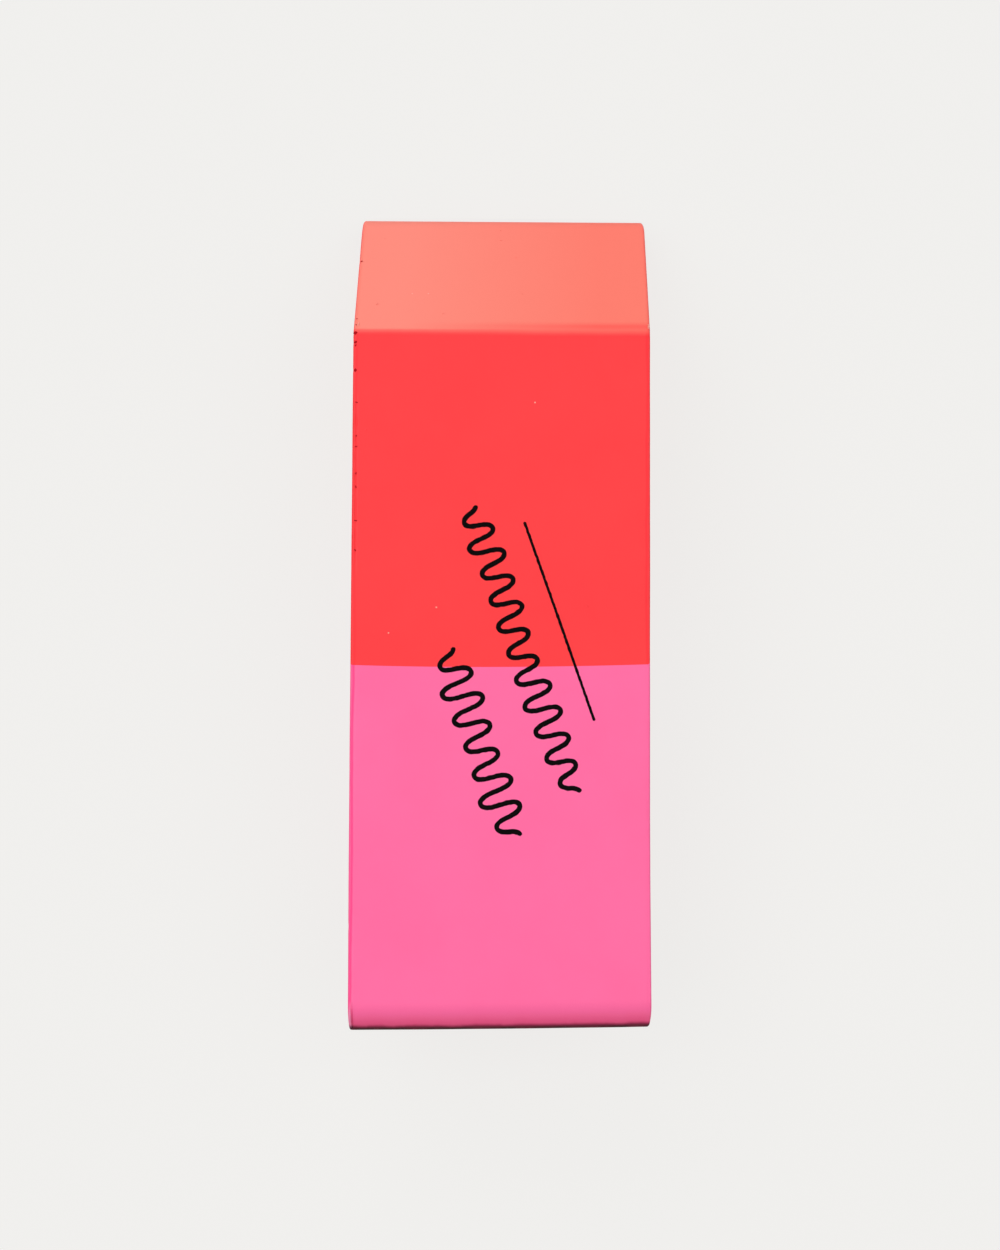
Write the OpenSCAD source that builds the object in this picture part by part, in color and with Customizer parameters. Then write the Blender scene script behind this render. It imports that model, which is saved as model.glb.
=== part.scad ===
// Bevelled block eraser of red and pink rubber.
// The two compounds are laid side by side and cured in one strip. The strip has a slanted section
// with soft corners, and a knife slices it across into blocks, so the four long corners are
// moulded round, and the two cut sides are flat with edges that wear has only just broken.
// The block lies on its bottom face. X runs across it from cut side to cut side, Y along it
// towards the red end, and Z up. The origin is under the middle of the block.

/* [Block] */
// Length over the two rounded tips
block_l = 62; // [50:0.5:80]
// Width between the two cut sides
block_w = 22; // [14:0.5:30]
// Thickness from the bottom face to the top face
block_h = 12.7; // [9:0.1:16]
// Slope of the bevelled ends above the bottom face, in degrees
bevel_angle = 42; // [35:1:65]

/* [Edges] */
// Radius of the two tips, where a bevel meets a face at the sharp angle
tip_r = 2.1; // [1:0.1:3]
// Radius of the two ridges, where a bevel meets a face at the blunt angle
ridge_r = 0.9; // [0.7:0.1:3]
// How far wear has taken back the edges of the cut sides
cut_edge_break = 0.3; // [0.1:0.05:0.6]

/* [Joint] */
// How far the joint line on the top face lies from the face's middle, towards the red end
joint_shift = 2.4; // [-8:0.1:8]
// How far the red compound bulges into the pink one at mid width
joint_bow = 0.1; // [0.05:0.01:0.5]

/* [Hidden] */
$fn = 96;
// How far surfaces that would only touch stand past each other, so that they cross cleanly
seam = 0.001;

// The strip's section is drawn in the plane of Y and Z. Its corners go counterclockwise from the
// pink end of the bottom face, and a tip's sharp corner reaches past the round that replaces it.
lean = block_h / tan(bevel_angle);
tip_reach = tip_r / tan(bevel_angle / 2) - tip_r;
half_l = block_l / 2 + tip_reach;
corners = [[lean - half_l, 0], [half_l, 0], [half_l - lean, block_h], [-half_l, block_h]];
corner_radii = [ridge_r, tip_r, ridge_r, tip_r];
corner_angles = [180 - bevel_angle, bevel_angle, 180 - bevel_angle, bevel_angle];

// Unit vector along side i, which leaves corner i, and the side's inward normal
function side_dir(i) = let (d = corners[(i + 1) % 4] - corners[i % 4]) d / norm(d);
function inward(i) = [-side_dir(i)[1], side_dir(i)[0]];
// Points where the round of corner i meets the side before it and the side after it
function setback(i) = corner_radii[i] / tan(corner_angles[i] / 2);
function round_start(i) = corners[i] - setback(i) * side_dir(i + 3);
function round_end(i) = corners[i] + setback(i) * side_dir(i);
function round_centre(i) = round_end(i) + corner_radii[i] * inward(i);

// The round of corner i: a roller across the width, with worn rims
module corner_round(i) {
    r = corner_radii[i] + seam;
    half_w = block_w / 2 + 2 * seam;
    e = cut_edge_break;
    translate(round_centre(i)) rotate_extrude() polygon([
        [0, -half_w],
        [r - e, -half_w],
        [r, e - half_w],
        [r, half_w - e],
        [r - e, half_w],
        [0, half_w]
    ]);
}

// The outer layer of side i between its two rounds: a slab across the width, with worn edges
module side_layer(i) {
    side_l = norm(round_start((i + 1) % 4) - round_end(i));
    heading = atan2(side_dir(i)[1], side_dir(i)[0]);
    half_w = block_w / 2 + seam;
    e = cut_edge_break;
    translate(round_end(i)) rotate([90, 0, heading + 90]) linear_extrude(side_l) polygon([
        [0, e - half_w],
        [e, -half_w],
        [2 * e, -half_w],
        [2 * e, half_w],
        [e, half_w],
        [0, half_w - e]
    ]);
}

// What the rounds and the side layers enclose
module core() {
    depth = 1.5 * cut_edge_break;
    linear_extrude(block_w + 2 * seam, center = true)
        polygon([
            for (i = [0:3]) each [
                round_start(i) + depth * inward(i + 3),
                round_end(i) + depth * inward(i)
            ]
        ]);
}

module between_cuts() {
    cube([block_w, 2 * block_l, 3 * block_h], center = true);
}

// The whole block, before its colours are told apart
module block() {
    intersection() {
        rotate([90, 0, 90]) {
            core();
            for (i = [0:3]) {
                corner_round(i);
                side_layer(i);
            }
        }
        between_cuts();
    }
}

// Everything on the red side of the joint. The joint is as steep as the bevels and bulges a
// little, so this is a wide drum whose axis leans with them and whose rim touches the joint line.
module red_side() {
    drum_r = (block_w * block_w / 4 + joint_bow * joint_bow) / (2 * joint_bow);
    joint_foot_y = joint_shift + lean / 2;
    translate([0, joint_foot_y, 0]) rotate([90 - bevel_angle, 0, 0]) translate([0, drum_r, 0])
        cylinder(r = drum_r, h = 4 * block_l, center = true, $fn = 720);
}

module red_half() {
    color("#fa4b4c") intersection() {
        block();
        red_side();
    }
}

module pink_half() {
    color("#ff74a8") difference() {
        block();
        red_side();
    }
}

red_half();
pink_half();
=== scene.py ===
import math
import random

import bmesh
import bpy
from mathutils import Matrix, Vector, noise


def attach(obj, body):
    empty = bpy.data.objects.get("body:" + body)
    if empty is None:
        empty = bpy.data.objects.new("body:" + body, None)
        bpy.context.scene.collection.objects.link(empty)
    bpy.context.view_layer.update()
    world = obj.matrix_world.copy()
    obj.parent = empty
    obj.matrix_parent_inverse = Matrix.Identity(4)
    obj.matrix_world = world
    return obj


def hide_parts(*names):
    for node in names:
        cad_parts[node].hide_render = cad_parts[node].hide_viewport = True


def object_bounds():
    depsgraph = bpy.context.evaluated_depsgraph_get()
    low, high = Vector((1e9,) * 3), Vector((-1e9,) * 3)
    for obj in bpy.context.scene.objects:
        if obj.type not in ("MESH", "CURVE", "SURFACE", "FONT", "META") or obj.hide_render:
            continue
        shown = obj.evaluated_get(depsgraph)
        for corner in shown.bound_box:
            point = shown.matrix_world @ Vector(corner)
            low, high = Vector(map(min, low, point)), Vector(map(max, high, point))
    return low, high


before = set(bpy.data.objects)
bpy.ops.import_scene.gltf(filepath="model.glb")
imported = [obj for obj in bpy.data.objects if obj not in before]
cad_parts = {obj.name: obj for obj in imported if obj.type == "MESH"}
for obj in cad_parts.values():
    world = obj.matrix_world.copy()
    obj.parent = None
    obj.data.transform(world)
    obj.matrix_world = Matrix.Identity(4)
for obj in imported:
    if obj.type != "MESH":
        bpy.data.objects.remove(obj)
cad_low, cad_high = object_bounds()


# Red half: the red rubber compound, with the bevelled end that rises from the desk. It is moulded
# in one strip with the pink compound, so its long corners are soft, and a knife slices the strip
# across, so its two sides are flat with edges that wear has only just broken.

# The sizes of the block and of all that clings to it are in millimetres, and MM turns them to
# metres
MM = 0.001
block_l = (cad_high.y - cad_low.y) / MM
block_w = (cad_high.x - cad_low.x) / MM
block_h = (cad_high.z - cad_low.z) / MM
half_w = block_w / 2
half_l = block_l / 2
bevel = math.radians(42)
lean = block_h / math.tan(bevel)
tip_r = 2.1
# Radius to which wear has rounded the edges of the cut sides
edge_break = 0.17
# Where the planes of the top face and the bevel would meet
ridge_y = half_l - tip_r + tip_r / math.sin(bevel) * (1 + math.cos(bevel)) - lean
# The joint on the top face: the place, across and along the block, where it comes furthest towards
# the pink end, and how far it draws back from there at the left and at the right side
joint_low_x = -3.0
joint_low_y = -4.68
joint_left_drift = 0.12
joint_right_drift = 0.25
# How far the right and the left cut side stand off their planes all along, and how much further at
# the end of three stretches, each given by its end of the block, its start, its length, and the
# amounts at the right and at the left
right_drift, left_drift = -0.02, -0.015
drift_stretches = (
    (-1, 12, 16, 0.09, 0.035),
    (-1, 29.2, 1.8, -0.15, 0.05),
    (1, 29.7, 1.3, -0.18, 0.09),
)


def joint_y(x):
    """Where the joint crosses the top face at this place across the width."""
    from_low = x - joint_low_x
    if from_low < 0:
        return joint_low_y + joint_left_drift * (from_low / (half_w + joint_low_x)) ** 2
    return joint_low_y + joint_right_drift * (from_low / (half_w - joint_low_x)) ** 2


def stations():
    """Places across the width, with how deep the rounds of the cut edges go there.

    They follow the rounds closely and lie further and further apart towards the middle.
    """
    round_steps = 6
    first_step, step_growth, widest_step = 0.05, 1.1, 0.36
    nearest_middle = 0.2
    right = []
    for i in range(round_steps):
        turn = math.pi / 2 * (1 - i / round_steps)
        x = half_w - edge_break * (1 - math.sin(turn))
        right.append((x, edge_break * (1 - math.cos(turn))))
    x, step = half_w - edge_break, first_step
    while x > nearest_middle:
        right.append((x, 0.0))
        x -= step
        step = min(step * step_growth, widest_step)
    left = [(-x, depth) for x, depth in right]
    return left + right[::-1]


def on_round(centre, radius, angle):
    """The point of a round at this angle in degrees."""
    turn = math.radians(angle)
    return centre[0] + radius * math.cos(turn), centre[1] + radius * math.sin(turn)


def sweep(centre, radius, start, stop, count):
    """Points along a round, between two angles, without its last one."""
    return [on_round(centre, radius, start + (stop - start) * i / count) for i in range(count)]


def stretch(start, stop, count):
    """Points along a straight line, without its last one."""
    return [
        (start[0] + (stop[0] - start[0]) * i / count, start[1] + (stop[1] - start[1]) * i / count)
        for i in range(count)
    ]


def section(depth, joint_s, ridge_r, ridge_drift, tip_drift):
    """The four sides of a half's slanted section, as points (s, p).

    s runs from the middle of the block to the tip, and p up from the face that the tip belongs to.
    """
    tip = (half_l - tip_r + tip_drift, tip_r)
    ridge = (ridge_y + ridge_drift - ridge_r * math.tan(bevel / 2), block_h - ridge_r)
    tip_round, ridge_round = tip_r - depth, ridge_r - depth
    foot = (joint_s - depth / math.tan(bevel), depth)
    head = (joint_s - (block_h - depth) / math.tan(bevel), block_h - depth)
    # The ways that the two faces and the bevel look, and the two ends of the nose, in degrees
    down, up, bevel_out = -90, 90, 90 - math.degrees(bevel)
    nose_start, nose_stop = -44, 2

    # The two long sides have 193 steps each, and the joint and the nose 30
    tip_face = stretch(foot, on_round(tip, tip_round, down), 180)
    tip_face += sweep(tip, tip_round, down, nose_start, 13)
    tip_face.append(on_round(tip, tip_round, nose_start))
    bevel_start = on_round(ridge, ridge_round, bevel_out)
    bevel_stop = on_round(tip, tip_round, bevel_out)
    far_side = stretch(head, on_round(ridge, ridge_round, up), 110)
    far_side += sweep(ridge, ridge_round, up, bevel_out, 12)
    far_side += stretch(bevel_start, bevel_stop, 60)
    far_side += sweep(tip, tip_round, bevel_out, nose_stop, 11)
    far_side.append(on_round(tip, tip_round, nose_stop))
    nose = sweep(tip, tip_round, nose_start, nose_stop, 30)
    nose.append(on_round(tip, tip_round, nose_stop))
    joint = stretch(foot, head, 30) + [head]
    return tip_face, far_side, joint, nose


def between(paths, i, j):
    """A point of the sheet that the four sides of a section span."""
    tip_face, far_side, joint, nose = paths
    u, v = i / (len(tip_face) - 1), j / (len(joint) - 1)
    return [
        (1 - v) * tip_face[i][k] + v * far_side[i][k] + (1 - u) * joint[j][k] + u * nose[j][k]
        - (1 - u) * (1 - v) * joint[0][k] - u * (1 - v) * nose[0][k]
        - (1 - u) * v * joint[-1][k] - u * v * nose[-1][k]
        for k in (0, 1)
    ]


def side_drift(x, y):
    """How far the cut sides wander along the block: a knife never slices quite straight."""
    drift = right_drift if x > 0 else left_drift
    for end, start, length, right, left in drift_stretches:
        drift += (right if x > 0 else left) * (max(0.0, end * y - start) / length) ** 2
    return drift * (x / half_w) ** 2


def swell(point):
    """Slow unevenness of the moulded faces, with a weaker one on it that is about 1.5 mm wide."""
    broad, fine = 0.012, 0.004
    return broad * noise.noise(point * 0.16) + fine * noise.noise(point * 0.7)


def in_scene(name, data):
    """Makes an object of its data and links it to the scene."""
    made = bpy.data.objects.new(name, data)
    bpy.context.collection.objects.link(made)
    return made


def piece(name, skin):
    """Makes a piece from a skin that is drawn in millimetres."""
    bmesh.ops.scale(skin, vec=(MM, MM, MM), verts=skin.verts)
    mesh = bpy.data.meshes.new(name)
    skin.to_mesh(mesh)
    skin.free()
    return in_scene(name, mesh)


def rubber_half(name, joint_s, ridge_r, ridge_drift, tip_drift, turned, dent):
    """Makes one half as a closed skin. A turned half stands on the other face.

    The joint's place, the ridge's radius, and how far the ridge and the tip have drifted along the
    block are all given across the width. dent gives the height of the wear at a place.
    """
    places = stations()
    last_w = len(places) - 1
    skin = bmesh.new()
    grid = {}
    for w, (x, depth) in enumerate(places):
        paths = section(depth, joint_s(x), ridge_r(x), ridge_drift(x), tip_drift(x))
        last_i, last_j = len(paths[0]) - 1, len(paths[2]) - 1
        for i in range(last_i + 1):
            for j in range(last_j + 1):
                if w in (0, last_w) or i in (0, last_i) or j in (0, last_j):
                    s, p = between(paths, i, j)
                    spot = (x, -s, block_h - p) if turned else (x, s, p)
                    grid[i, j, w] = skin.verts.new(spot)

    def patch(corner, rows, columns):
        """One side of the closed skin, with smooth four-cornered faces."""
        made = set()
        for a in range(rows):
            for b in range(columns):
                around = [corner(a, b), corner(a + 1, b), corner(a + 1, b + 1), corner(a, b + 1)]
                face = skin.faces.new([grid[key] for key in around])
                face.smooth = True
                made.add(face)
        return made

    patch(lambda a, b: (a, 0, b), last_i, last_w)
    patch(lambda a, b: (a, last_j, b), last_i, last_w)
    patch(lambda a, b: (a, b, 0), last_i, last_j)
    patch(lambda a, b: (a, b, last_w), last_i, last_j)
    patch(lambda a, b: (last_i, a, b), last_j, last_w)
    joint_face = patch(lambda a, b: (0, a, b), last_j, last_w)
    bmesh.ops.recalc_face_normals(skin, faces=skin.faces)
    # The rim of the joint stays sharp, and wear leaves the joint itself as it is
    for edge in skin.edges:
        edge.smooth = len([face for face in edge.link_faces if face in joint_face]) != 1
    skin.normal_update()
    for vert in skin.verts:
        outer = [face.normal.copy() for face in vert.link_faces if face not in joint_face]
        if outer:
            outward = sum(outer, Vector()).normalized()
            vert.co.x += side_drift(vert.co.x, vert.co.y)
            vert.co += outward * (swell(vert.co) + dent(vert.co))
    return piece(name, skin)


def linear(hex_colour, alpha=1.0):
    """An sRGB hex colour as linear red, green, blue and alpha."""
    parts = [int(hex_colour[i:i + 2], 16) / 255 for i in (1, 3, 5)]
    return [c / 12.92 if c <= 0.04045 else ((c + 0.055) / 1.055) ** 2.4 for c in parts] + [alpha]


def greys(*levels):
    """Stops of a ramp in plain grey, from pairs of a place and a level."""
    return [(place, (level, level, level, 1.0)) for place, level in levels]


def add(tree, kind, settings={}, sockets={}, stops=()):
    """Adds one node with its settings, and its stops where it is a ramp.

    Each socket gets a value or another node's output.
    """
    made = tree.nodes.new(kind)
    for name, value in settings.items():
        setattr(made, name, value)
    for name, value in sockets.items():
        if isinstance(value, bpy.types.NodeSocket):
            tree.links.new(value, made.inputs[name])
        else:
            made.inputs[name].default_value = value
    if stops:
        ramp = made.color_ramp.elements
        ramp[0].position, ramp[0].color = stops[0]
        ramp[1].position, ramp[1].color = stops[-1]
        for place, colour in stops[1:-1]:
            ramp.new(place).color = colour
    return made


def new_material(name):
    """A material with no nodes yet."""
    made = bpy.data.materials.new(name)
    made.use_nodes = True
    made.node_tree.nodes.clear()
    return made


def whereabouts(tree):
    """The place on a piece, and the same place as its X, Y and Z."""
    place = add(tree, "ShaderNodeTexCoord").outputs["Object"]
    return place, add(tree, "ShaderNodeSeparateXYZ", {}, {0: place}).outputs


def scale_for(size):
    """Scale of a noise pattern whose blotches are about this many millimetres across."""
    return 1 / (size * MM)


def moulded_rubber(name, skin, deep, edge, left_stripe, right_stripe, inset):
    """Matt vulcanised rubber, moulded on its faces and sliced on its sides.

    The filler in it leaves a fine grain and a faint mottle. Just inside the broken edges, by the
    inset in millimetres, the colour is richer, by the amount given for each side. The sliced sides
    keep the knife's drag lines.
    """
    made = new_material(name)
    tree = made.node_tree
    place, spot = whereabouts(tree)
    reach = add(tree, "ShaderNodeMath", {"operation": "ABSOLUTE"}, {0: spot["X"]}).outputs[0]

    # Cloudy mottle of the mixed compound, about 5 mm across
    cloud = add(
        tree, "ShaderNodeTexNoise", {}, {"Vector": place, "Scale": scale_for(5), "Detail": 3.0},
    )
    cloud_part = add(
        tree, "ShaderNodeMapRange", {},
        {"Value": cloud.outputs["Fac"], "From Min": 0.35, "From Max": 0.7},
    )
    body = add(
        tree, "ShaderNodeMix", {"data_type": "RGBA"},
        {0: cloud_part.outputs[0], 6: linear(skin), 7: linear(deep)},
    )

    # Stripe of richer colour just inside the broken edges, about 0.15 mm wide. It wanders a little
    # and fades out at the ridge
    stripe_x = half_w - inset
    wander = add(
        tree, "ShaderNodeMath", {"operation": "MULTIPLY_ADD"},
        {0: cloud.outputs["Fac"], 1: 0.3 * MM, 2: reach},
    )
    edge_reach = add(
        tree, "ShaderNodeMapRange", {},
        {
            "Value": wander.outputs[0],
            "From Min": (stripe_x - 0.25) * MM,
            "From Max": (stripe_x + 0.15) * MM,
        },
    )
    edge_band = add(
        tree, "ShaderNodeValToRGB", {}, {"Fac": edge_reach.outputs[0]},
        greys((0.22, 0.0), (0.45, 1.0), (0.66, 1.0), (0.86, 0.25)),
    )
    side_stripe = add(
        tree, "ShaderNodeMapRange", {},
        {
            "Value": spot["X"],
            "From Min": -1 * MM,
            "From Max": 1 * MM,
            "To Min": left_stripe,
            "To Max": right_stripe,
        },
    )
    below_ridge = add(
        tree, "ShaderNodeMapRange", {},
        {
            "Value": spot["Y"],
            "From Min": (ridge_y - 0.4) * MM,
            "From Max": (ridge_y + 0.4) * MM,
            "To Min": 1.0,
            "To Max": 0.1,
        },
    )
    edge_stripe = add(
        tree, "ShaderNodeMath", {"operation": "MULTIPLY"},
        {0: side_stripe.outputs[0], 1: below_ridge.outputs[0]},
    )
    edge_part = add(
        tree, "ShaderNodeMath", {"operation": "MULTIPLY"},
        {0: edge_band.outputs[0], 1: edge_stripe.outputs[0]},
    )
    edge_striped = add(
        tree, "ShaderNodeMix", {"data_type": "RGBA"},
        {0: edge_part.outputs[0], 6: body.outputs[2], 7: linear(edge)},
    )

    # Filler grain of about 0.05 mm, drawn 0.15 mm wide so that it shows
    grain = add(
        tree, "ShaderNodeTexNoise", {}, {"Vector": place, "Scale": scale_for(0.15), "Detail": 2.0},
    )
    grain_bump = add(
        tree, "ShaderNodeBump", {},
        {"Height": grain.outputs["Fac"], "Strength": 0.25, "Distance": 0.02 * MM},
    )
    roughness = add(
        tree, "ShaderNodeMapRange", {},
        {"Value": grain.outputs["Fac"], "To Min": 0.4, "To Max": 0.52},
    )

    # Drag lines that the knife leaves down the sliced sides, about 0.4 mm apart
    lines_place = add(
        tree, "ShaderNodeMapping", {},
        {"Vector": place, "Scale": (1.0, 1.0, 0.06), "Rotation": (0.12, 0.0, 0.0)},
    )
    lines = add(
        tree, "ShaderNodeTexNoise", {},
        {"Vector": lines_place.outputs[0], "Scale": scale_for(0.4), "Detail": 3.0},
    )
    sliced_part = add(
        tree, "ShaderNodeMapRange", {},
        {"Value": reach, "From Min": (half_w - 0.06) * MM, "From Max": (half_w - 0.03) * MM},
    )
    lines_height = add(
        tree, "ShaderNodeMath", {"operation": "MULTIPLY"},
        {0: lines.outputs["Fac"], 1: sliced_part.outputs[0]},
    )
    lines_bump = add(
        tree, "ShaderNodeBump", {},
        {
            "Height": lines_height.outputs[0],
            "Strength": 0.5,
            "Distance": 0.06 * MM,
            "Normal": grain_bump.outputs[0],
        },
    )
    rubber = add(
        tree, "ShaderNodeBsdfPrincipled", {},
        {
            "Base Color": edge_striped.outputs[2],
            "Roughness": roughness.outputs[0],
            "IOR": 1.5,
            "Specular IOR Level": 0.35,
            "Normal": lines_bump.outputs[0],
        },
    )
    add(tree, "ShaderNodeOutputMaterial", {}, {"Surface": rubber.outputs[0]})
    return made


# Used for painted sheen and painted shade as well as for colour laid on the rubber
def lay_over(tree, part, colour, roughness=None):
    """Lays another skin over a rubber, where part says how much of the rubber it hides."""
    finish = tree.nodes["Principled BSDF"].inputs
    below = finish["Base Color"].links[0].from_socket
    covered = add(tree, "ShaderNodeMix", {"data_type": "RGBA"}, {0: part, 6: below, 7: colour})
    tree.links.new(covered.outputs[2], finish["Base Color"])
    if roughness is not None:
        below = finish["Roughness"].links[0].from_socket
        dulled = add(
            tree, "ShaderNodeMix", {"data_type": "FLOAT"}, {0: part, 2: below, 3: roughness},
        )
        tree.links.new(dulled.outputs[0], finish["Roughness"])


# A knife's burr stands along the left edge of the red top face: a fine crease, and a low lip
# outside it
burr_x = 0.28 - half_w
lip_x = burr_x - 0.15
burr_start, burr_stop = 2.0, 15.6
burr_depth = 0.12
# Nicks in the left edges: their place across the width, and each one's place along the block,
# length and depth
nick_x = 0.12 - half_w
red_nicks = [(20.1, 0.30, 0.10), (19.4, 0.26, 0.10), (17.3, 0.22, 0.07), (26.8, 0.22, 0.06)]
pink_nicks = [(-23.6, 0.5, 0.05), (-12.2, 0.3, 0.03)]
# A shallow hollow runs along the bevel just below the right part of the ridge
hollow_y = ridge_y + 0.24
hollow_depth = 0.04
# The ridge is crisp up to this place across the width, and its radius grows from there
crisp_stop = -4
crisp_ridge_r = 0.62
ridge_r_growth = 0.95


def top_of(y):
    """Height of the bevel or the top face at this place along the block."""
    return min(block_h, (ridge_y + lean - y) * math.tan(bevel))


def near_top(spot):
    """Whether a place is on the bevel or the top face, or on the edges close below them."""
    return spot.z > top_of(spot.y) - 0.25


def hump(offset, width):
    """A smooth hump, 1 high at its middle, that has died away at about twice this width."""
    return math.exp(-(offset / width) ** 2)


def crease(spot, depth):
    """The burr's crease, this deep, and its lip, about a quarter as high."""
    return depth * (0.27 * hump(spot.x - lip_x, 0.07) - hump(spot.x - burr_x, 0.05))


def nick(spot, nicks):
    """Small bites out of the top left edge."""
    bite = 0.0
    for y, length, depth in nicks:
        if abs(spot.y - y) < 2 * length and spot.x < 0.6 - half_w and near_top(spot):
            bite -= depth * hump(spot.y - y, 0.5 * length) * hump(spot.x - nick_x, 0.12)
    return bite


def red_wear(spot):
    """Burr, nicks and hollow of the red half, as heights above its moulded faces."""
    rise = nick(spot, red_nicks)
    if spot.z > block_h - 0.3 and spot.x < 1 - half_w and burr_start < spot.y < burr_stop:
        fade = min(1.0, (spot.y - burr_start) / 1.5, burr_stop - spot.y)
        patchy = 0.65 + 0.5 * noise.noise(Vector((0.0, spot.y * 1.3, 7.0)))
        rise += crease(spot, burr_depth * fade * patchy)
    if spot.y > ridge_y - 0.5 and spot.x > 0 and near_top(spot):
        fade = min(1.0, spot.x / 5)
        rise -= hollow_depth * fade * hump(spot.y - hollow_y, 0.26)
    return rise


def red_ridge_r(x):
    """The ridge is crisp at its left end and has worn softer towards the right."""
    softer = max(0.0, (x - crisp_stop) / (half_w - crisp_stop))
    return crisp_ridge_r + ridge_r_growth * softer ** 1.2


red_half = rubber_half(
    "red_rubber_half",
    joint_s=lambda x: joint_y(x) + lean,
    ridge_r=red_ridge_r,
    ridge_drift=lambda x: -0.01 - 0.06 * (x / half_w) ** 2,
    tip_drift=lambda x: -0.04 - 0.055 * x / half_w,
    turned=False,
    dent=red_wear,
)
red_rubber = moulded_rubber(
    "red_moulded_rubber", skin="#FE3237", deep="#FB2F35", edge="#FF1E2C",
    left_stripe=0.55, right_stripe=0.75, inset=0.07,
)

# Painted sheen: the bevel is painted a paler salmon that stands in for the light it catches, and is
# more matt than the moulded faces. The paint ends softly at the ridge, where its edge is uneven by
# about 0.1 mm. At the right it dips back towards red along a line just below the ridge, painted
# shade along the hollow there
red_tree = red_rubber.node_tree
red_place, red_spot = whereabouts(red_tree)
uneven = add(
    red_tree, "ShaderNodeTexNoise", {},
    {"Vector": red_place, "Scale": scale_for(3.85), "Detail": 4.0},
)
sheen_paint_y = add(
    red_tree, "ShaderNodeMath", {"operation": "MULTIPLY_ADD"},
    {0: uneven.outputs["Fac"], 1: 0.12 * MM, 2: red_spot["Y"]},
)
past_ridge = add(
    red_tree, "ShaderNodeMapRange", {},
    {
        "Value": sheen_paint_y.outputs[0],
        "From Min": (ridge_y - 0.41) * MM,
        "From Max": (ridge_y + 0.99) * MM,
    },
)
sheen_paint_left = add(
    red_tree, "ShaderNodeValToRGB", {}, {"Fac": past_ridge.outputs[0]},
    greys((0.10, 0.0), (0.23, 0.09), (0.33, 0.27), (0.39, 0.42), (0.48, 0.85), (0.54, 1.0)),
)
sheen_paint_right = add(
    red_tree, "ShaderNodeValToRGB", {}, {"Fac": past_ridge.outputs[0]},
    greys(
        (0.05, 0.0), (0.17, 0.14), (0.28, 0.36), (0.39, 0.58), (0.48, 0.64),
        (0.54, 0.50), (0.66, 0.46), (0.70, 0.52), (0.80, 0.74), (0.96, 1.0),
    ),
)
rightward = add(
    red_tree, "ShaderNodeMapRange", {},
    {"Value": red_spot["X"], "From Min": -7.3 * MM, "From Max": 7.3 * MM},
)
sheen_paint = add(
    red_tree, "ShaderNodeMix", {"data_type": "RGBA"},
    {0: rightward.outputs[0], 6: sheen_paint_left.outputs[0], 7: sheen_paint_right.outputs[0]},
)
# The painted sheen fades out round the tip, and the face that the block lies on has none
on_bevel = add(
    red_tree, "ShaderNodeMapRange", {"interpolation_type": "SMOOTHSTEP"},
    {"Value": red_spot["Z"], "From Min": (tip_r - 1.1) * MM, "From Max": (tip_r + 0.1) * MM},
)
# It thins over the last 0.3 mm before the broken edges, and the cut sides have none
red_reach = add(red_tree, "ShaderNodeMath", {"operation": "ABSOLUTE"}, {0: red_spot["X"]})
to_edge = add(
    red_tree, "ShaderNodeMapRange", {},
    {"Value": red_reach.outputs[0], "From Min": (half_w - 0.5) * MM, "From Max": half_w * MM},
)
inside = add(
    red_tree, "ShaderNodeValToRGB", {}, {"Fac": to_edge.outputs[0]},
    greys((0.40, 1.0), (0.68, 0.84), (0.88, 0.76), (0.97, 0.0)),
)
sheen_paint_part = sheen_paint.outputs[2]
for limit in (on_bevel, inside):
    sheen_paint_part = add(
        red_tree, "ShaderNodeMath", {"operation": "MULTIPLY"}, {0: sheen_paint_part, 1: limit.outputs[0]},
    ).outputs[0]
# Paler at the left than at the right: painted light, as if it came from the left
sheen_paint_colour = add(
    red_tree, "ShaderNodeMix", {"data_type": "RGBA"},
    {0: rightward.outputs[0], 6: linear("#FE897A"), 7: linear("#FE7A6A")},
)
lay_over(red_tree, sheen_paint_part, sheen_paint_colour.outputs[2], roughness=0.62)
red_half.data.materials.append(red_rubber)
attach(red_half, "root")
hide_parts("red_half")


# Pink half: the pink rubber compound, cured face to face with the red one along a joint as steep
# as the bevels. Its bevel faces down, so its tip overhangs the desk at the top.

# How far the foremost line of the tip stands out at mid width, and its slant and bend
nose_drift = 0.12
nose_slant = -0.175 / half_w
nose_bend = -0.04 / half_w ** 2
# Where that line lies at mid width, and the height of the tip's middle
nose_y = -half_l - nose_drift
nose_z = block_h - tip_r
# Depth of the pink half's burr, and how much deeper it is at the near corner
faint_burr = 0.025
corner_burr = 0.11


def pink_wear(spot):
    """The faint burr and the nicks of the pink half; the burr is deepest at the near corner."""
    if spot.z < block_h - 1.9 or spot.x > 1 - half_w:
        return 0.0
    corner = min(1.0, max(0.0, (-29.2 - spot.y) / 0.8))
    return nick(spot, pink_nicks) + crease(spot, faint_burr + corner_burr * corner)


pink_half = rubber_half(
    "pink_rubber_half",
    joint_s=lambda x: -joint_y(x),
    ridge_r=lambda x: 0.9,
    ridge_drift=lambda x: 0.0,
    tip_drift=lambda x: nose_drift + nose_slant * x + nose_bend * x * x,
    turned=True,
    dent=pink_wear,
)
pink_rubber = moulded_rubber(
    "pink_moulded_rubber", skin="#FF67A0", deep="#FE649D", edge="#FF428A",
    left_stripe=1.0, right_stripe=0.1, inset=0.02,
)
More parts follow.
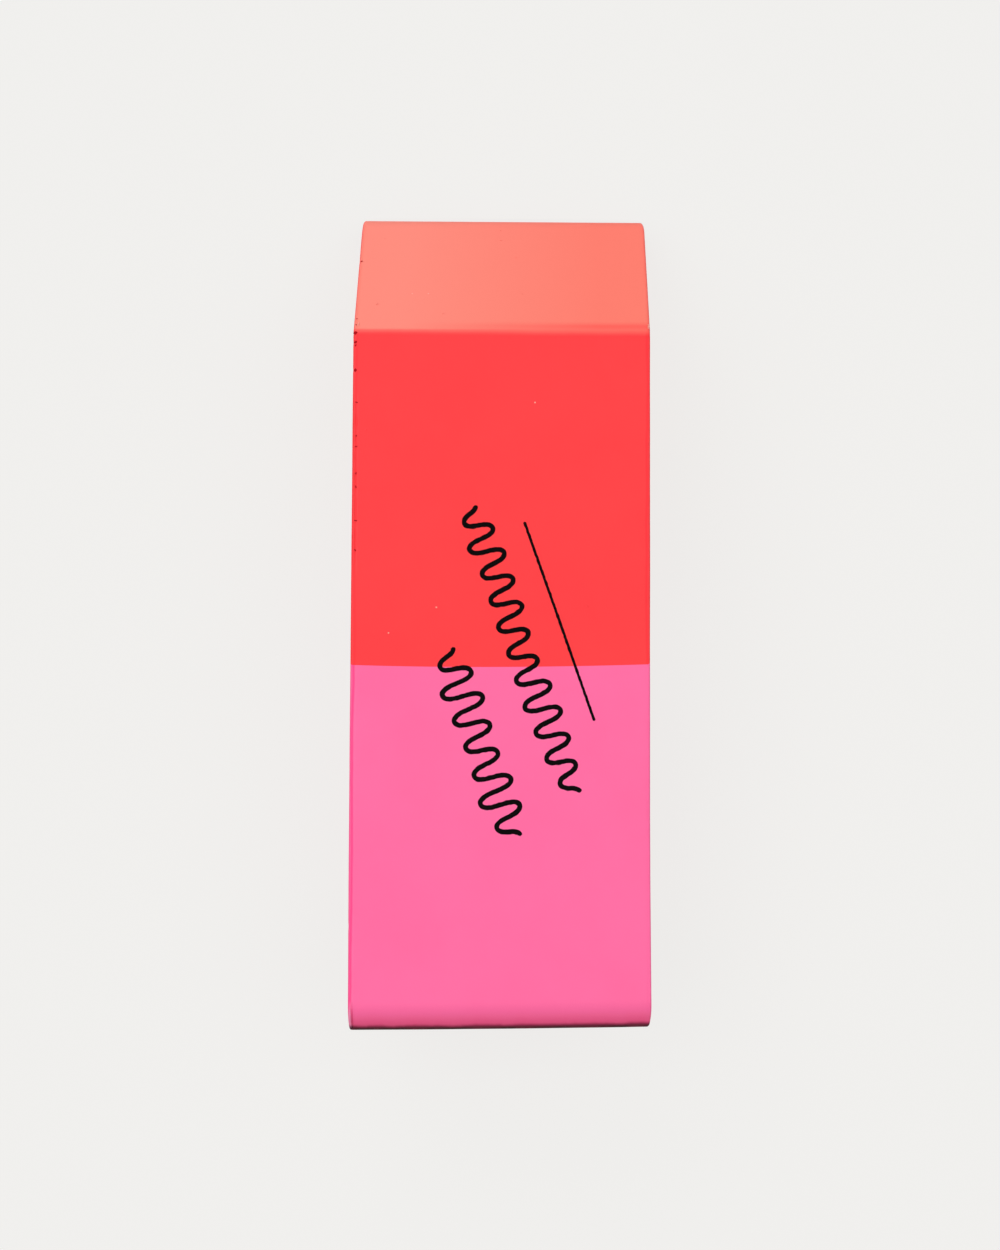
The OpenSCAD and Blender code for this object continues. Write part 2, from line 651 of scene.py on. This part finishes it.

# Painted shade on the tip's nose, where it turns from the light: over its last 1.5 mm the pink is
# painted deeper, and the foremost line is painted almost black. The paint is broken into streaks
# about 1 mm wide round the nose, and dies away on the side that faces the desk
pink_tree = pink_rubber.node_tree
pink_place, pink_spot = whereabouts(pink_tree)
slant = add(
    pink_tree, "ShaderNodeMath", {"operation": "MULTIPLY_ADD"},
    {0: pink_spot["X"], 1: nose_bend / MM, 2: nose_slant},
)
straightened_y = add(
    pink_tree, "ShaderNodeMath", {"operation": "MULTIPLY_ADD"},
    {0: pink_spot["X"], 1: slant.outputs[0], 2: pink_spot["Y"]},
)
streak_place = add(
    pink_tree, "ShaderNodeMapping", {}, {"Vector": pink_place, "Scale": (1.0, 0.12, 0.12)},
)
shade_streaks = add(
    pink_tree, "ShaderNodeTexNoise", {},
    {"Vector": streak_place.outputs[0], "Scale": scale_for(1.1), "Detail": 4.0},
)
streaked_y = add(
    pink_tree, "ShaderNodeMath", {"operation": "MULTIPLY_ADD"},
    {0: shade_streaks.outputs["Fac"], 1: 0.25 * MM, 2: straightened_y.outputs[0]},
)
nose_part = add(
    pink_tree, "ShaderNodeMapRange", {},
    {
        "Value": streaked_y.outputs[0],
        "From Min": (nose_y + 1.62) * MM,
        "From Max": (nose_y + 0.12) * MM,
    },
)
streaked_z = add(
    pink_tree, "ShaderNodeMath", {"operation": "MULTIPLY_ADD"},
    {0: shade_streaks.outputs["Fac"], 1: 0.9 * MM, 2: pink_spot["Z"]},
)
above = add(
    pink_tree, "ShaderNodeMapRange", {"interpolation_type": "SMOOTHSTEP"},
    {
        "Value": streaked_z.outputs[0],
        "From Min": (nose_z + 0.02) * MM,
        "From Max": (nose_z + 0.98) * MM,
    },
)
nose_shade_colours = ((0.0, "#FF67A0"), (0.31, "#FF6398"), (0.61, "#FC548C"), (0.76, "#EC3E78"),
                (1.0, "#B02050"))
nose_shade = add(
    pink_tree, "ShaderNodeValToRGB", {}, {"Fac": nose_part.outputs[0]},
    [(place, linear(colour)) for place, colour in nose_shade_colours],
)
nose_shade_reach = add(
    pink_tree, "ShaderNodeMapRange", {}, {"Value": nose_part.outputs[0], "From Max": 0.3},
)
nose_shade_part = add(
    pink_tree, "ShaderNodeMath", {"operation": "MULTIPLY"},
    {0: nose_shade_reach.outputs[0], 1: above.outputs[0]},
)
lay_over(pink_tree, nose_shade_part.outputs[0], nose_shade.outputs[0])

# At the left end of the nose the burr's lip is painted pale, painted light, and its crease dark,
# painted shade
from_edge = add(
    pink_tree, "ShaderNodeMapRange", {},
    {"Value": pink_spot["X"], "From Min": -half_w * MM, "From Max": (0.5 - half_w) * MM},
)
lip_light_crease_shade = ((0.0, "#FF92BC", 0.0), (0.14, "#FF92BC", 0.0), (0.24, "#FF92BC", 1.0),
               (0.46, "#FF8AB8", 1.0), (0.60, "#D8205E", 0.5), (0.70, "#B8104C", 0.65),
               (0.84, "#B8104C", 0.1), (1.0, "#B8104C", 0.0))
lip_and_crease_paint = add(
    pink_tree, "ShaderNodeValToRGB", {}, {"Fac": from_edge.outputs[0]},
    [(place, linear(colour, part)) for place, colour, part in lip_light_crease_shade],
)
at_corner = add(
    pink_tree, "ShaderNodeMapRange", {},
    {"Value": pink_spot["Y"], "From Min": -29.0 * MM, "From Max": -30.0 * MM},
)
lip_and_crease_part = lip_and_crease_paint.outputs["Alpha"]
for limit in (at_corner, above):
    lip_and_crease_part = add(
        pink_tree, "ShaderNodeMath", {"operation": "MULTIPLY"}, {0: lip_and_crease_part, 1: limit.outputs[0]},
    ).outputs[0]
lay_over(pink_tree, lip_and_crease_part, lip_and_crease_paint.outputs["Color"])

# Painted shade along the foremost line: dull, almost black, with a little crimson in it
foremost = add(
    pink_tree, "ShaderNodeMapRange", {"interpolation_type": "SMOOTHSTEP"},
    {"Value": nose_part.outputs[0], "From Min": 0.64, "From Max": 0.89},
)
patches = add(
    pink_tree, "ShaderNodeMapRange", {},
    {"Value": shade_streaks.outputs["Fac"], "From Min": 0.36, "From Max": 0.56, "To Min": 0.85},
)
dark_line_part = foremost.outputs[0]
for limit in (above, patches):
    dark_line_part = add(
        pink_tree, "ShaderNodeMath", {"operation": "MULTIPLY"},
        {0: dark_line_part, 1: limit.outputs[0]},
    ).outputs[0]
lay_over(pink_tree, dark_line_part, linear("#420617"), roughness=1.0)
pink_half.data.materials.append(pink_rubber)
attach(pink_half, "root")
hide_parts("pink_half")


# Crumbs, grit and dust: loose grains that cling to the rubber. Red crumbs lie on the bevel and the
# top face. Dark grains lie in the nicks and the crease along the left edge, as dirt and as painted
# shade that darkens those hollows. Pale dust lies on the faces and at the left end of the ridge,
# and pale grains at its right end are a painted highlight that stands in for a glint.
bevel_up = Vector((0.0, math.sin(bevel), math.cos(bevel)))
top_up = Vector((0.0, 0.0, 1.0))


def lumps(name, seed, grains, material):
    """Small uneven lumps, each given as x, y, length, width and height in millimetres."""
    chance = random.Random(seed)
    heap = bmesh.new()
    for x, y, length, width, height in grains:
        up = bevel_up if y > ridge_y else top_up
        turn = up.to_track_quat("Z", "Y").to_matrix().to_4x4()
        turn = turn @ Matrix.Rotation(chance.uniform(0, 3), 4, "Z")
        size = Vector((width, length, height))
        for vert in bmesh.ops.create_icosphere(heap, subdivisions=2, radius=0.5)["verts"]:
            rough = 1 + 0.35 * noise.noise(vert.co * 2.5 + Vector((x, y, 0.0)))
            vert.co = Vector((x, y, top_of(y))) + turn @ (vert.co * size * rough)
    for face in heap.faces:
        face.smooth = True
    made = piece(name, heap)
    made.data.materials.append(material)
    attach(made, "root")
    return made


def loose_grains(name, colour, other_colour, patch_size):
    """Rubber and dirt ground to grains, rough and without gloss, in patches of two colours."""
    made = new_material(name)
    tree = made.node_tree
    place = add(tree, "ShaderNodeTexCoord").outputs["Object"]
    cloud = add(
        tree, "ShaderNodeTexNoise", {}, {"Vector": place, "Scale": scale_for(patch_size)},
    )
    mixed = add(
        tree, "ShaderNodeMix", {"data_type": "RGBA"},
        {0: cloud.outputs["Fac"], 6: linear(colour), 7: linear(other_colour)},
    )
    skin = add(
        tree, "ShaderNodeBsdfPrincipled", {},
        {"Base Color": mixed.outputs[2], "Roughness": 0.9, "Specular IOR Level": 0.2},
    )
    add(tree, "ShaderNodeOutputMaterial", {}, {"Surface": skin.outputs[0]})
    return made


crumbs = [
    (-9.2, 29.05, 0.16, 0.12, 0.06), (-0.23, 29.9, 0.14, 0.12, 0.06),
    (-0.2, 28.9, 0.18, 0.10, 0.05), (1.0, 27.2, 0.14, 0.12, 0.06),
    (1.5, 23.7, 0.16, 0.12, 0.05), (-4.4, 21.85, 0.22, 0.16, 0.07),
    (-9.4, 22.75, 0.24, 0.16, 0.05), (6.4, -0.2, 0.12, 0.12, 0.04),
    (-10.0, 12.8, 0.18, 0.16, 0.04),
]
red_crumbs = lumps("red_crumbs", 4, crumbs, red_rubber)

# Dull dark red grains of rubber and dirt, darker in patches of 0.25 mm, in the nicks, along edge_x
# and in the burr's crease: partly dirt, and partly painted shade that darkens those hollows
edge_x = 0.14 - half_w
flecks = [
    (edge_x, 20.1, 0.32, 0.20, 0.10), (edge_x + 0.03, 19.4, 0.26, 0.18, 0.10),
    (edge_x + 0.04, 19.15, 0.20, 0.12, 0.08), (edge_x + 0.03, 17.3, 0.24, 0.20, 0.10),
    (edge_x + 0.02, 26.8, 0.20, 0.10, 0.05), (edge_x + 0.04, 21.35, 0.14, 0.07, 0.04),
    (edge_x + 0.02, 20.8, 0.13, 0.07, 0.04), (burr_x, 14.9, 0.22, 0.09, 0.06),
    (burr_x, 12.4, 0.16, 0.08, 0.06), (burr_x, 11.6, 0.22, 0.08, 0.06),
    (burr_x, 9.6, 0.16, 0.08, 0.06), (burr_x, 8.6, 0.22, 0.08, 0.06),
    (burr_x, 6.1, 0.28, 0.08, 0.06), (burr_x, 3.9, 0.22, 0.08, 0.06),
]
lumps("edge_flecks_and_shade", 5, flecks, loose_grains("grit_and_painted_shade", "#D00618", "#9A0414", 0.25))

# Pale rubber dust: powdery grains, worn off the edges, with patches of 0.2 mm. The three grains at
# the right end of the ridge are a painted highlight: pale grains that stand in for a glint there
grains = [
    (-6.79, 23.71, 0.16, 0.14, 0.05), (-5.58, 23.71, 0.14, 0.14, 0.05),
    (2.48, 14.91, 0.13, 0.12, 0.04), (-4.72, -0.30, 0.14, 0.13, 0.04),
    (-8.22, -2.20, 0.12, 0.12, 0.04), (10.86, 20.56, 0.14, 0.13, 0.06),
    (10.88, 20.70, 0.18, 0.15, 0.06), (10.88, 20.84, 0.16, 0.14, 0.06),
    (-10.68, 20.75, 0.14, 0.12, 0.04), (-10.66, 20.86, 0.15, 0.12, 0.04),
    (-10.64, 20.97, 0.13, 0.11, 0.04),
]
lumps("pale_dust_and_glint", 6, grains, loose_grains("rubber_dust_and_glint", "#FFB8AA", "#FF9484", 0.2))


# Pen strokes: two wavy lines and a straight one in black ink, drawn across both colours and laid
# on the top face as a thin film. The ink creeps a little into the grain, so its edges are ragged.
stroke_heading = Vector((-0.341, 0.940))
stroke_side = Vector((0.940, 0.341))
broad_line, fine_line = 0.37, 0.21
film_thickness = 0.016
film_ragged = 0.035
# The film's section: places across a line as parts of its half width, and heights as parts of the
# thickness
film_section = ((-1, -0.02), (-0.86, 0.75), (0, 1), (0.86, 0.75), (1, -0.02))


def wave(start, pitch, count, height, seed):
    """Points of a hand-drawn wave, of count times its pitch.

    It leans and varies a little, and is flatter at its ends.
    """
    per_wave = 40
    points = []
    for i in range(count * per_wave + 1):
        turn = i / per_wave
        swing = height * (0.85 + 0.3 * noise.noise(Vector((turn * 0.45, seed, 0.0))))
        swing *= min(1.0, 0.45 + 0.4 * turn, 0.45 + 0.4 * (count - turn))
        angle = 2 * math.pi * turn
        forward = pitch * turn + 0.10 * swing * math.sin(2 * angle)
        sideways = swing * math.cos(angle) + 0.25 * noise.noise(Vector((turn * 0.3, seed, 5.0)))
        points.append(Vector(start) + stroke_heading * forward + stroke_side * sideways)
    return points


def evenly(points, step):
    """The same path, with its points this far apart."""
    spaced, carried = [points[0]], 0.0
    for a, b in zip(points, points[1:]):
        gap = (b - a).length
        while carried + gap >= step:
            a = a.lerp(b, (step - carried) / gap)
            spaced.append(a)
            gap = (b - a).length
            carried = 0.0
        carried += gap
    return spaced


def stroke(film, points, width, seed):
    """Lays one ink line along the points: a low ridge of film with round ends."""
    step = 0.07
    spaced = evenly(points, step)
    last = len(spaced) - 1
    rows = []
    for i, spot in enumerate(spaced):
        heading = (spaced[min(last, i + 1)] - spaced[max(0, i - 1)]).normalized()
        side = Vector((heading.y, -heading.x))
        along = i * step
        to_end = min(along, last * step - along)
        half = width / 2
        if to_end < half:
            half = math.sqrt(max(0.0, half ** 2 - (half - to_end) ** 2)) + 0.01
        half *= 1 + 0.10 * noise.noise(Vector((along * 0.6, seed, 0.0)))
        row = []
        for part, rise in film_section:
            across = half * part
            if part:
                creep = noise.noise(Vector((along * 3.5, seed + part, 9.0)))
                across += math.copysign(film_ragged, part) * creep
            flat = spot + side * across
            level = block_h + swell(Vector((flat.x, flat.y, block_h))) + film_thickness * rise
            row.append(film.verts.new((flat.x, flat.y, level)))
        rows.append(row)
    for one, two in zip(rows, rows[1:]):
        for k in range(len(film_section) - 1):
            film.faces.new((one[k], one[k + 1], two[k + 1], two[k])).smooth = True
    for row in (rows[0], rows[-1]):
        film.faces.new(row).smooth = True


film = bmesh.new()
stroke(film, wave((1.0, -17.2), 2.1, 7, 1.45, 1.0), broad_line, 1.0)
stroke(film, wave((5.4, -14.0), 2.05, 11, 1.25, 2.0), broad_line, 2.0)
stroke(film, [Vector((6.9, -8.6)), Vector((4.3, -1.2)), Vector((1.7, 6.1))], fine_line, 3.0)
bmesh.ops.recalc_face_normals(film, faces=film.faces)
pen_strokes = piece("pen_strokes", film)

# Dried black ink: a thin film with hardly any gloss, a little brown in thin patches of 0.3 mm
dried_ink = new_material("dried_black_ink")
ink = dried_ink.node_tree
ink_place = add(ink, "ShaderNodeTexCoord").outputs["Object"]
ink_cloud = add(
    ink, "ShaderNodeTexNoise", {}, {"Vector": ink_place, "Scale": scale_for(0.33), "Detail": 3.0},
)
ink_thin = add(
    ink, "ShaderNodeMapRange", {},
    {"Value": ink_cloud.outputs["Fac"], "From Min": 0.45, "From Max": 0.8},
)
ink_colour = add(
    ink, "ShaderNodeMix", {"data_type": "RGBA"},
    {0: ink_thin.outputs[0], 6: linear("#020202"), 7: linear("#0C0607")},
)
ink_bump = add(
    ink, "ShaderNodeBump", {},
    {"Height": ink_cloud.outputs["Fac"], "Strength": 0.3, "Distance": 0.02 * MM},
)
ink_film = add(
    ink, "ShaderNodeBsdfPrincipled", {},
    {
        "Base Color": ink_colour.outputs[2],
        "Roughness": 0.7,
        "IOR": 1.45,
        "Specular IOR Level": 0.05,
        "Normal": ink_bump.outputs[0],
    },
)
add(ink, "ShaderNodeOutputMaterial", {}, {"Surface": ink_film.outputs[0]})
pen_strokes.data.materials.append(dried_ink)
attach(pen_strokes, "root")


# Floor: a flat board with matt pale paint, three metres out to each side, which the block lies on.
# It is a hair lower than the block's underside, so that the two don't share a plane.
board_half, board_z = 3, -0.02 * MM
floor_mesh = bpy.data.meshes.new("floor")
floor_mesh.from_pydata(
    [(x * board_half, y * board_half, board_z) for x, y in ((-1, -1), (1, -1), (1, 1), (-1, 1))],
    [], [(0, 1, 2, 3)],
)
floor = in_scene("floor", floor_mesh)


def seen(tree):
    """1 where the eye meets a surface, straight, in a gloss or through a clear thing; else 0."""
    rays = add(tree, "ShaderNodeLightPath")
    part = rays.outputs["Is Camera Ray"]
    for other in ("Is Glossy Ray", "Is Transmission Ray"):
        part = add(
            tree, "ShaderNodeMath", {"operation": "MAXIMUM"}, {0: part, 1: rays.outputs[other]},
        ).outputs[0]
    return part


# The paint is pale where it is seen and greyer in the light that it throws back, so that little
# light comes up at the overhanging tip
painted_board = new_material("painted_board")
board = painted_board.node_tree
board_seen = seen(board)
board_colour = add(
    board, "ShaderNodeMix", {"data_type": "RGBA"},
    {0: board_seen, 6: linear("#A6A6A4"), 7: linear("#F0F0EE")},
)
board_paint = add(
    board, "ShaderNodeBsdfDiffuse", {}, {"Color": board_colour.outputs[2], "Roughness": 0.6},
)
# The board glows where it is seen, which leaves only a faint shadow round the block
board_glow = add(
    board, "ShaderNodeEmission", {}, {"Color": linear("#F1F0EE"), "Strength": 1.0},
)
glow_part = add(board, "ShaderNodeMath", {"operation": "MULTIPLY"}, {0: board_seen, 1: 0.91})
board_mix = add(
    board, "ShaderNodeMixShader", {},
    {0: glow_part.outputs[0], 1: board_paint.outputs[0], 2: board_glow.outputs[0]},
)
add(board, "ShaderNodeOutputMaterial", {}, {"Surface": board_mix.outputs[0]})
floor_mesh.materials.append(painted_board)


# Light: three soft boxes, which are flat lamps behind white cloth, in a room with pale walls. Two
# stand at the sides and one beyond the bevel, and the room itself is dim.
def soft_box(name, spot, width, height, watts, colour):
    """A flat lamp turned towards the block, with its place and its size in metres."""
    lamp = bpy.data.lights.new(name, "AREA")
    lamp.shape = "RECTANGLE"
    lamp.size, lamp.size_y = width, height
    lamp.energy = watts
    lamp.color = colour
    made = in_scene(name, lamp)
    made.location = spot
    made.rotation_euler = (-Vector(spot)).to_track_quat("-Z", "Y").to_euler()


soft_box("left_soft_box", (-0.6, 0.03, 1.0), 0.9, 0.9, 5.0, (0.98, 0.99, 1.0))
soft_box("right_soft_box", (0.6, 0.03, 1.0), 0.9, 0.9, 4.35, (0.98, 0.99, 1.0))
soft_box("far_soft_box", (-0.35, 0.85, 0.6), 0.8, 0.5, 3.85, (1.0, 0.99, 0.97))

# The walls light the block at 0.4 of the strength at which they are seen
room = bpy.data.worlds.new("room")
bpy.context.scene.world = room
room.use_nodes = True
air = room.node_tree
air.nodes.clear()
dim_room, pale_room = [
    add(air, "ShaderNodeBackground", {}, {"Color": linear("#F0F0EE"), "Strength": strength})
    for strength in (0.4, 1.0)
]
air_mix = add(
    air, "ShaderNodeMixShader", {},
    {0: seen(air), 1: dim_room.outputs[0], 2: pale_room.outputs[0]},
)
add(air, "ShaderNodeOutputWorld", {}, {"Surface": air_mix.outputs[0]})


# Camera: a long lens almost straight above the block, as in the photograph. It stands about 190 mm
# up, over the pink half, and looks a little towards the red end.
camera_data = bpy.data.cameras.new("camera")
camera_data.lens = 70.476
camera_data.sensor_width = 36.0
camera_data.clip_start = 0.01
camera = in_scene("camera", camera_data)
# The place and the turns, in radians, at which the block's outline is as in the photograph
eye = Vector((1.8434, -15.0500, 191.7867)) * MM
pitch, yaw, roll = 0.0750425773, 0.0104752736, 0.00369382092
camera.matrix_world = (
    Matrix.Translation(eye)
    @ Matrix.Rotation(pitch, 4, "X")
    @ Matrix.Rotation(yaw, 4, "Y")
    @ Matrix.Rotation(roll, 4, "Z")
)
bpy.context.scene.camera = camera

bpy.context.scene.view_settings.view_transform = "Standard"
